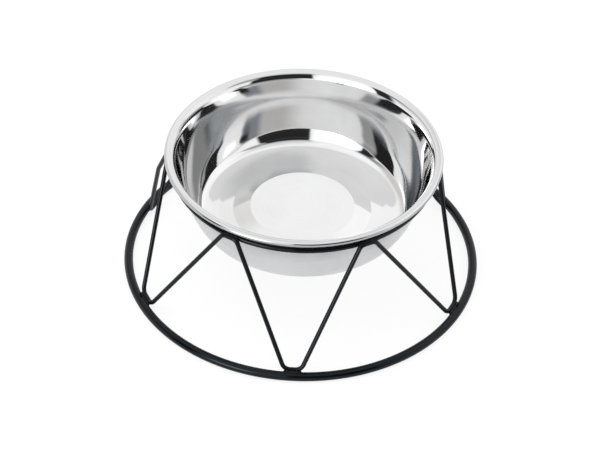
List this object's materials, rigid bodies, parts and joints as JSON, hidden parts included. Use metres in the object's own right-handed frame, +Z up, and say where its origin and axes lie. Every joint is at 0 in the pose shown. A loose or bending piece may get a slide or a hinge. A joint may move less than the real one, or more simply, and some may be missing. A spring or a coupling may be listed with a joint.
{
  "type": "pet food bowl",
  "caption": "Stainless steel dog food bowl with a rolled rim, resting in the top ring of a black zigzag wire stand.",
  "frame": {"origin": "centre of the base ring, on the floor it stands on", "axes": "+Z is up, out of the bowl; -Y is the front, the side the picture is taken from; +X is to the right seen from the front"},
  "size_m": [0.2396, 0.2396, 0.0931],
  "materials": {
    "stand_black": "semi-gloss black powder coat on steel wire",
    "bowl_steel": "polished inside, satin outside"
  },
  "bodies": {
    "stand": {"base_ring": "stand_black", "top_ring": "stand_black", "zigzag_wire": "stand_black"},
    "bowl": {"bowl": "bowl_steel"}
  },
  "joints": [
    {"name": "bowl_lift", "type": "slide", "parent": "stand", "child": "bowl", "axis": [0, 0, 1], "range_m": [0, 0.06]}
  ]
}
